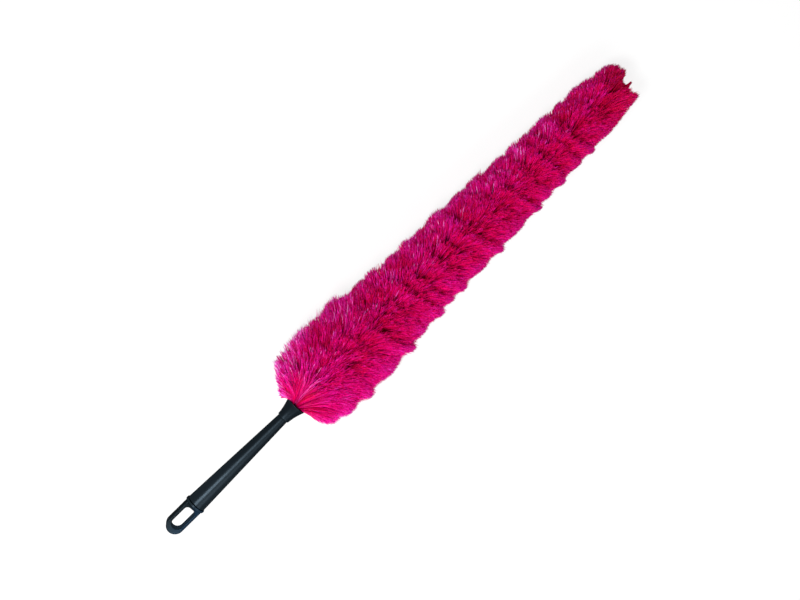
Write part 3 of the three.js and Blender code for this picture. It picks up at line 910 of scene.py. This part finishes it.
def trimmed_length(root_x, turn, lean):
    """Length at which a straight fibre leaves the outline: the range is halved until it is short."""
    short = np.zeros_like(root_x)
    long = np.full_like(root_x, LONGEST)
    from_edge = np.cos(turn - FULL_EDGE)
    for _ in range(HALVINGS):
        length = (short + long) / 2
        x = root_x + length * np.cos(lean)
        reach = ROOT_REACH + length * np.sin(lean)
        inside = (reach < pile_reach(x, from_edge)) & (x < tip_end(reach * from_edge))
        short = np.where(inside, length, short)
        long = np.where(inside, long, length)
    return np.maximum(short, SHORTEST)


stations = np.array([170, 250, 450, 680])
print("reach at", stations, "mm:", np.round(pile_reach(stations, 0), 1))

# %% [markdown]
# Fibre clings together in fine locks. Their roots run along the core, as close as the pile is wide, and each
# is turned from the last by the golden angle, which fills a round stem evenly. The pile stands out from the
# wire in two fans that wind unevenly round the core, so the tips gather along the crests of the fans and part
# in the valleys between them. Within a fan the locks cling together in tufts.

# %% Roots, fans and tufts
LOCKS = 15600
ROOT_START = 158.5
ROOT_STEPS = 2000
TIP_AHEAD = 40.0
LEAST_DENSITY = 6.0
TURN_STRAY = 0.12
FAN_PITCH = 56.0
FAN_START = 238.0
SLOW_WANDER = (0.8, 31.0, 1.5)
QUICK_WANDER = (0.45, 12.7, 2.5)
WANDER_FADE = 50.0
TUFTS_ALONG_TURN = 4
TUFTS_ROUND = 16
RANDOM = np.random.default_rng(11)


def spaced_roots(count):
    """Root stations with the density of the outline that their tips fill, and turns by the golden angle."""
    x = np.linspace(ROOT_START, LAST_ROOT, ROOT_STEPS)
    density = pile_reach(np.clip(x + TIP_AHEAD, ROOT_START, TIP_START), 0) + LEAST_DENSITY
    total = np.cumsum(density)
    share = (np.arange(count) + RANDOM.uniform(0, 1, count)) / count
    roots = np.interp(share, total / total[-1], x)
    golden = np.pi * (3 - math.sqrt(5))
    return roots, (golden * np.arange(count) + RANDOM.normal(0, TURN_STRAY, count)) % (2 * np.pi)


def fan_winding(root_x, edge):
    """Turn of the fans along the core: even, plus a slow wander and a quick one.

    The quick one differs from edge to edge, and both fade away towards the ends of the pile.
    """
    slow, slow_length, slow_phase = SLOW_WANDER
    quick, quick_length, quick_shift = QUICK_WANDER
    even = 2 * np.pi * (root_x - FAN_START) / FAN_PITCH
    wander = slow * np.sin(root_x / slow_length + slow_phase)
    wander = wander + quick * np.sin(root_x / quick_length + quick_shift * edge)
    from_end = np.minimum(root_x - FIRST_ROOT, LAST_ROOT - root_x)
    return even + wander * smooth_step(from_end / WANDER_FADE)


def in_tufts(turn, phase):
    """The tuft that each lock belongs to, and the way to the tuft's middle along the core and round it.

    A tuft is one cell of a grid laid like bricks: along the core by the phase of the fans, and round it by
    the turn.
    """
    along = TUFTS_ALONG_TURN * phase / (2 * np.pi)
    row = np.floor(along)
    about = TUFTS_ROUND * turn / (2 * np.pi) + 0.5 * (row % 2)
    column = np.floor(about)
    tuft = np.unique(row * TUFTS_ROUND + column % TUFTS_ROUND, return_inverse=True)[1]
    to_middle_x = (along - row - 0.5) * FAN_PITCH / TUFTS_ALONG_TURN
    to_middle_turn = (0.5 - about + column) * 2 * np.pi / TUFTS_ROUND
    return tuft, to_middle_x, to_middle_turn


def strays(tuft, tuft_spread, lock_spread):
    """Chance that the locks of a tuft share, plus the chance of each lock."""
    shared = RANDOM.normal(0, tuft_spread, tuft.max() + 1)[tuft]
    return shared + RANDOM.normal(0, lock_spread, len(tuft))


print("tufts in a turn of the fans:", TUFTS_ALONG_TURN * TUFTS_ROUND)

# %% [markdown]
# Each lock has a shade between the darkest and the palest dye, and it carries painted light and shade: it is
# painted paler along the crests and next to the ferrule, a little darker towards the tip, and darker still
# where the pile parts and on its underside, as painted shade. So the shade follows those places first, and
# chance is added after that.

# %% Shade of the locks, with painted light and shade
MIDDLE_SHADE = 0.50
PAINTED_CREST_LIGHT = 0.05
PAINTED_FERRULE_LIGHT = 0.05
PAINTED_FULL_EDGE_LIGHT = 0.23
PAINTED_COMBED_EDGE_LIGHT = 0.06
PAINTED_LIGHT_LENGTH = 36.0
PAINTED_TIP_SHADE = 0.05
PAINTED_PARTING_SHADE = 0.19
PAINTED_PARTED_TIP_SHADE = 1.1
DARK_TIP_LENGTH = 90.0
PAINTED_UNDERSIDE_SHADE = 0.25
UNDERSIDE_SLOPE = 2.5
UNDERSIDE_START = 0.1


def shade_with_painted_light(root_x, edge, facing, crest):
    """Shade before chance: painted light on crests and by the ferrule, painted shade at tip, parting and
    below.

    edge runs from one on the fuller edge to minus one on the combed edge. facing runs from one towards the
    camera to minus one below.
    """
    # Painted light near the ferrule, most on the fuller edge, and painted shade towards the tip.
    painted_light_near_ferrule = 1 - smooth_step((root_x - FIRST_ROOT) / PAINTED_LIGHT_LENGTH)
    near_tip = smooth_step((root_x - FIRST_ROOT) / (LAST_ROOT - FIRST_ROOT))
    at_tip = smooth_step((root_x - LAST_ROOT) / DARK_TIP_LENGTH + 1)
    painted_light_on_edges = PAINTED_FULL_EDGE_LIGHT * np.maximum(edge, 0) + PAINTED_COMBED_EDGE_LIGHT * np.maximum(-edge, 0)
    # Painted shade where the pile parts, deepest at the tip, and on the underside.
    parted = PAINTED_PARTING_SHADE * (1 + PAINTED_PARTED_TIP_SHADE * at_tip) * np.maximum(facing, 0) ** 2
    below = PAINTED_UNDERSIDE_SHADE * smooth_step(-UNDERSIDE_SLOPE * facing - UNDERSIDE_START)
    shade = MIDDLE_SHADE + PAINTED_CREST_LIGHT * crest + painted_light_near_ferrule * (PAINTED_FERRULE_LIGHT + painted_light_on_edges)
    return shade - PAINTED_TIP_SHADE * near_tip - parted - below


print("shade of the fuller edge at the ferrule:", shade_with_painted_light(FIRST_ROOT, edge=1, facing=0, crest=0))

# %% [markdown]
# Now the locks themselves. The pile parts along two sides, one of them towards the camera, and it parts wider
# once in each turn of the fans. The edge across from the fuller one is combed smooth, so there the locks
# stray less and the tufts cling less. Next to the ferrule the fuller edge is swept back over its lip, and the
# side towards the camera is stroked flat.

# %% Locks
FAN_GATHER = 4.2
FAN_CREST = 0.066
FAN_SHARES = (0.65, 0.35)
DRAWN_FADE = 40.0
TUFT_GATHER = 0.35
TUFT_BLUR = 0.15
PARTING = 0.15
PARTING_LOST = 0.8
PARTING_SWING = 0.5
SWEPT_START = 166.0
SWEPT_LENGTH = 14.0
SWEPT_BACK = 23.0
SWEPT_STRAY = 1.3
STROKED_FLAT = 22.0
BASE_JUMBLE = 1.5
COMBED = 0.6
COMBED_EDGE = 0.6
LEAN_STRAY = (2.5, 2.5)
STRETCH_STRAY = (0.014, 0.012)
SWAY_STRAY = (0.05, 0.05)
SHADE_STRAY = (0.08, 0.10)
BOW = -0.045
BOW_STRAY = 0.025


def make_locks(count):
    """Each lock's root, lean, bow, sway and shade, and how far its fan lengthens it and draws its tip along.

    Crest and gather are the cosine and sine of twice the phase in the fans, for two fans, with a share of the
    plain phase, which makes one fan fuller than the other.
    """
    root_x, root_turn = spaced_roots(count)
    edge = np.cos(root_turn - FULL_EDGE)
    facing = np.sin(root_turn - FULL_EDGE)
    swept = np.maximum(edge, 0) ** 2 * (1 - smooth_step((root_x - SWEPT_START) / SWEPT_LENGTH))
    near_base = 1 - smooth_step((root_x - FIRST_ROOT) / LEAN_BASE_LENGTH)
    winding = fan_winding(root_x, edge)
    parting = PARTING * (1 - PARTING_LOST * near_base) * (1 - PARTING_SWING * np.cos(winding))
    turn = root_turn - parting * 2 * edge * facing
    phase = turn - winding
    crest = FAN_SHARES[0] * np.cos(2 * phase) + FAN_SHARES[1] * np.cos(phase)
    gather = FAN_SHARES[0] * np.sin(2 * phase) + FAN_SHARES[1] * np.sin(phase)
    tuft, to_middle_x, to_middle_turn = in_tufts(turn, phase + RANDOM.normal(0, TUFT_BLUR, count))
    loose = 1 - COMBED * smooth_step(COMBED_EDGE - edge)
    jumble = (1 + BASE_JUMBLE * near_base) * loose
    lean = lean_at(root_x) + jumble * strays(tuft, *LEAN_STRAY)
    lean = lean + SWEPT_BACK * swept * RANDOM.exponential(SWEPT_STRAY, count)
    lean = lean - STROKED_FLAT * near_base * np.maximum(facing, 0)
    drawn = FAN_GATHER * gather + TUFT_GATHER * loose * to_middle_x
    return {
        "root_x": root_x,
        "turn": turn,
        "lean": np.radians(lean),
        "stretch": 1 + FAN_CREST * crest + loose * strays(tuft, *STRETCH_STRAY),
        "drawn": drawn * smooth_step((LAST_ROOT - root_x) / DRAWN_FADE),
        "sway": TUFT_GATHER * loose * to_middle_turn + jumble * strays(tuft, *SWAY_STRAY),
        "bow": RANDOM.normal(BOW, BOW_STRAY, count),
        "shade": shade_with_painted_light(root_x, edge, facing, crest) + loose * strays(tuft, *SHADE_STRAY),
        "loose": loose,
    }


locks = make_locks(LOCKS)
print("locks", LOCKS, "from", np.round(locks["root_x"].min(), 1), "to", np.round(locks["root_x"].max(), 1))

# %% [markdown]
# A strand starts beside the others of its lock and leans almost as they do, so it spreads a little from them.
# The ferrule's lip keeps the first strands from leaning any further back. A strand ends where the trimmed
# outline cuts it, or somewhat short of that, and it has a slight wave and a shade of its own. A few strands
# are much paler: painted highlights, which stand in for the glints on lit fibres.

# %% Paths of the strands
STRANDS_PER_LOCK = 5
ALONG = np.array([0.0, 0.34, 0.66, 0.93, 1.0])
ROOT_SPREAD = 0.7
TURN_SPREAD = 0.028
LEAN_SPREAD = 1.6
LIP_REACH = 9.5
LIP_GAP = 0.4
TRIM_SPREAD = 0.014
SHORT_SHARE = 0.25
SHORT_TRIM = (0.84, 0.98)
WAVE_MM = 0.5
WAVE_STARTS = 6.3
WAVE_TURN = 7.0
PAINTED_HIGHLIGHT_SHARE = 0.09
PAINTED_HIGHLIGHT_SHADE = 0.38
PAINTED_HIGHLIGHT_KEPT = 0.4
SHADE_SPREAD = 0.11


def strand_paths(locks, chosen):
    """Middle lines, shape (strands, stations, 3), with the shade and the turn of each strand.

    Station and reach run evenly from root to tip, plus a bow square to the chord, plus a wave that grows from
    the root. The turn runs from the lock's own by its sway.
    """
    lock = {name: np.repeat(value[chosen], STRANDS_PER_LOCK) for name, value in locks.items()}
    count = len(chosen) * STRANDS_PER_LOCK
    root_x = lock["root_x"] + RANDOM.normal(0, ROOT_SPREAD, count)
    turn = lock["turn"] + RANDOM.normal(0, TURN_SPREAD, count)
    lean = lock["lean"] + np.radians(RANDOM.normal(0, LEAN_SPREAD, count))
    lean = np.minimum(lean, np.arctan2(LIP_REACH, FERRULE_FRONT + LIP_GAP - root_x))
    trim = 1 - np.abs(RANDOM.normal(0, TRIM_SPREAD, count))
    is_short = RANDOM.uniform(0, 1, count) < SHORT_SHARE
    trim = trim * np.where(is_short, RANDOM.uniform(*SHORT_TRIM, count), 1)
    length = trimmed_length(root_x, turn, lean) * lock["stretch"] * trim
    wave_start = RANDOM.uniform(0, WAVE_STARTS, count)[:, None]
    wave = WAVE_MM * ALONG * np.sin(wave_start + WAVE_TURN * ALONG)
    outwards = (lock["bow"] * length)[:, None] * 4 * ALONG * (1 - ALONG)
    chord_x = length * np.cos(lean) + lock["drawn"]
    chord_reach = length * np.sin(lean)
    x = root_x[:, None] + chord_x[:, None] * ALONG - outwards * np.sin(lean)[:, None]
    reach = ROOT_REACH + chord_reach[:, None] * ALONG + outwards * np.cos(lean)[:, None]
    angle = turn[:, None] + lock["sway"][:, None] * ALONG
    y = reach * np.cos(angle) - wave * np.sin(angle)
    z = reach * np.sin(angle) + wave * np.cos(angle)
    # Painted highlights: a few strands are made much paler, fewer of them on the combed edge.
    is_painted_highlight = RANDOM.uniform(0, 1, count) < PAINTED_HIGHLIGHT_SHARE
    painted_highlight = np.where(is_painted_highlight, PAINTED_HIGHLIGHT_SHADE, 0) * (PAINTED_HIGHLIGHT_KEPT + (1 - PAINTED_HIGHLIGHT_KEPT) * lock["loose"])
    shade = lock["shade"] + lock["loose"] * RANDOM.normal(0, SHADE_SPREAD, count) + painted_highlight
    return np.stack([x, y, z], axis=-1), np.clip(shade, 0, 1), turn


print("strands to come:", LOCKS * STRANDS_PER_LOCK)

# %% [markdown]
# All strands have the same corners and faces, so the pattern of one strand is worked out once for a piece,
# and is repeated by adding to its numbers. A strand is a triangle carried along its path, because thousands
# of strands leave room for few faces each. Where the pile rests on the table it is pressed flat.

# %% Strands
STRAND_RADIUS = np.array([0.30, 0.32, 0.34, 0.30])
RINGS = len(STRAND_RADIUS)
STRAND_POINTS = 3 * RINGS + 1
STRAND_TRIANGLES = 6 * (RINGS - 1) + 4
ROOT_CAP = 0.02
SHADE_COLUMNS = 40
COLUMN_MARGIN = 0.05
END_MARGIN = 0.01
PRESSED_MM = 1.5


def strand_pattern():
    """Corners of one strand's faces, and for each corner its place across and along the strand.

    The rings have three corners each, and the last corner is the point. Rows of three quads are followed by
    three triangles at the point and one that closes the root.
    """
    ring = np.arange(3 * RINGS).reshape(RINGS, 3)
    beside = np.roll(ring, -1, axis=1)
    quads = np.stack([ring[:-1], beside[:-1], beside[1:], ring[1:]], axis=-1).reshape(-1)
    lower, upper = ALONG[:-2], ALONG[1:-1]
    rows = np.stack([lower, lower, upper, upper], axis=-1).repeat(3, axis=0).reshape(-1)
    point = np.stack([ring[-1], beside[-1], np.full(3, STRAND_POINTS - 1)], axis=-1).reshape(-1)
    corners = np.concatenate([quads, point, [0, 2, 1]])
    across = np.concatenate([np.tile([0, 1, 1, 0], len(quads) // 4), np.tile([0, 1, 0.5], 4)])
    along = np.concatenate([rows, np.tile([ALONG[-2], ALONG[-2], 1.0], 3), [0.0, 0.0, ROOT_CAP]])
    starts = np.concatenate([np.arange(0, len(quads), 4), len(quads) + 3 * np.arange(4)])
    return corners, across, along, starts


def pressed(points):
    """Points in the shared frame, flattened near the table: below a low height, the height fades away."""
    low = PRESSED_MM * MM
    height = points[..., 2]
    points[..., 2] = np.where(height < low, low * np.exp(np.minimum(height / low - 1, 0)), height)
    return points


def strand_points(paths, turns):
    """Corners of all strands in the shared frame: a triangle carried along each middle line, and a point."""
    ahead = np.gradient(paths, axis=1)
    ahead = ahead / np.linalg.norm(ahead, axis=-1, keepdims=True)
    beside = np.stack([0 * turns, -np.sin(turns), np.cos(turns)], axis=-1)[:, None]
    first = beside - ahead * np.sum(beside * ahead, axis=-1, keepdims=True)
    first = first / np.linalg.norm(first, axis=-1, keepdims=True)
    second = np.cross(ahead, first)
    spin = RANDOM.uniform(0, 2 * np.pi, len(paths))[:, None] + np.arange(3) * 2 * np.pi / 3
    cosine = np.cos(spin)[:, None, :, None]
    sine = np.sin(spin)[:, None, :, None]
    outwards = cosine * first[:, :-1, None] + sine * second[:, :-1, None]
    rings = paths[:, :-1, None] + STRAND_RADIUS[:, None, None] * outwards
    points = np.concatenate([rings.reshape(len(paths), 3 * RINGS, 3), paths[:, -1:]], axis=1)
    return pressed(to_row(points.reshape(-1, 3)))


def fibre_piece(name, paths, shade, turns):
    """One mesh of strands. Each lies on the UV map in the column of its shade, from root to tip."""
    points = strand_points(paths, turns)
    corners, across, along, starts = strand_pattern()
    number = np.arange(len(paths))[:, None]
    mesh = bpy.data.meshes.new(name)
    mesh.vertices.add(len(points))
    mesh.vertices.foreach_set("co", points.reshape(-1))
    mesh.loops.add(len(paths) * len(corners))
    mesh.loops.foreach_set("vertex_index", (corners + STRAND_POINTS * number).reshape(-1))
    mesh.polygons.add(len(paths) * len(starts))
    mesh.polygons.foreach_set("loop_start", (starts + len(corners) * number).reshape(-1))
    mesh.polygons.foreach_set("use_smooth", np.ones(len(paths) * len(starts), bool))
    column = np.minimum((shade * SHADE_COLUMNS).astype(int), SHADE_COLUMNS - 1)[:, None]
    u = (column + COLUMN_MARGIN + (1 - 2 * COLUMN_MARGIN) * across) / SHADE_COLUMNS
    v = np.broadcast_to(END_MARGIN + (1 - 2 * END_MARGIN) * along, u.shape)
    mesh.uv_layers.new(name="OFBake").data.foreach_set("uv", np.stack([u, v], axis=-1).reshape(-1))
    mesh.update(calc_edges=True)
    mesh.validate()
    mesh.materials.append(pile_fibre)
    piece = bpy.data.objects.new(name, mesh)
    bpy.context.scene.collection.objects.link(piece)
    print(name, "strands", len(paths), "triangles", len(paths) * STRAND_TRIANGLES)
    return piece


# %% [markdown]
# On the real brush the pile is one run of fibre. The frame has four nodes for it, so the locks are dealt out
# by the stations of their roots. Each node is dressed by three pieces, which keeps every mesh light enough to
# handle.

# %% Fibre pile
PILE_NODES = ["pile_base", "pile_lower", "pile_upper", "pile_tip"]
PILE_PARTS = ["rear", "middle", "front"]

station = (locks["root_x"] - FIRST_ROOT) / (LAST_ROOT - FIRST_ROOT)
node_of_lock = np.clip((station * len(PILE_NODES)).astype(int), 0, len(PILE_NODES) - 1)
for index, node in enumerate(PILE_NODES):
    shares = np.array_split(np.flatnonzero(node_of_lock == index), len(PILE_PARTS))
    for part, chosen in zip(PILE_PARTS, shares):
        piece = fibre_piece(f"fibres_{node}_{part}", *strand_paths(locks, chosen))
        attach(piece, "brush")
        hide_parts(node)

# %% [markdown]
# Deep inside, the roots are matted round the core into a felt. It has taken the same dye, but little light
# gets in to brighten it, so its colour is painted dark, as shade, with cloudy patches and a rough nap.

# %% Root felt
SHADED_DEEP_FELT = (0.20, 0.001, 0.03, 1.0)
SHADED_PALE_FELT = (0.42, 0.002, 0.08, 1.0)
NAP_MM = 0.6
NAP_BUMP = 0.5
NAP_DEPTH = 0.0006
FELT_PATCH_MM = 5.0
FELT_ROUGHNESS = 0.75
NAP_ROUGHNESS = 0.15
FELT_GLOSS = 0.1


def shaded_matted_felt(name):
    """Matted fibre: the dye darkened by painted shade, with cloudy patches and a rough nap."""
    material, start = new_finish(name)
    place = start.node("ShaderNodeTexCoord", output="Object")
    nap = start.noise(place, NAP_MM, detail=3.0)
    patches = start.noise(place, FELT_PATCH_MM, detail=3.0)
    bump = start.node("ShaderNodeBump", {}, {
        "Strength": NAP_BUMP,
        "Distance": NAP_DEPTH,
        "Height": nap,
    }, output="Normal")
    start.surface(start.node("ShaderNodeBsdfPrincipled", {}, {
        "Base Color": patches.between(SHADED_DEEP_FELT, SHADED_PALE_FELT),
        "Roughness": FELT_ROUGHNESS + NAP_ROUGHNESS * nap,
        "Specular IOR Level": FELT_GLOSS,
        "Normal": bump,
    }))
    return material


shaded_root_felt = shaded_matted_felt("shaded_root_felt")
print("felt:", shaded_root_felt.name)

# %% [markdown]
# The felt makes a dark sleeve round the core, which stands in for the shade among the roots. It is hardly
# seen,
# but it stops the eye: without it, light would show through where the pile parts. It could be a plain
# cylinder, but roots never lie so evenly, so it has two low ribs that wind along it, once in each pitch of
# the fans.

# %% Root sleeve
SLEEVE_START = 155.6
SLEEVE_END = 690.0
SLEEVE_RADIUS = 4.2
SLEEVE_RIB = 0.5
SLEEVE_CLOSING = 4.0
SLEEVE_END_SHARE = 0.6


def sleeve_rings(steps=420, sides=28):
    """A tube whose radius rises and falls twice round it, wound along the core, closing in at both ends."""
    x = np.linspace(SLEEVE_START, SLEEVE_END, steps)[:, None]
    turn = np.linspace(0, 2 * np.pi, sides, endpoint=False)[None]
    from_end = np.minimum(x - SLEEVE_START, SLEEVE_END - x)
    closing = np.minimum(1, from_end / SLEEVE_CLOSING + SLEEVE_END_SHARE)
    ribs = SLEEVE_RIB * np.cos(2 * (turn - 2 * np.pi * x / FAN_PITCH))
    return about_axis(x, (SLEEVE_RADIUS + ribs) * closing, turn)


sleeve = skin("pile_root_sleeve", sleeve_rings(), shaded_root_felt, False)
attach(sleeve, "brush")
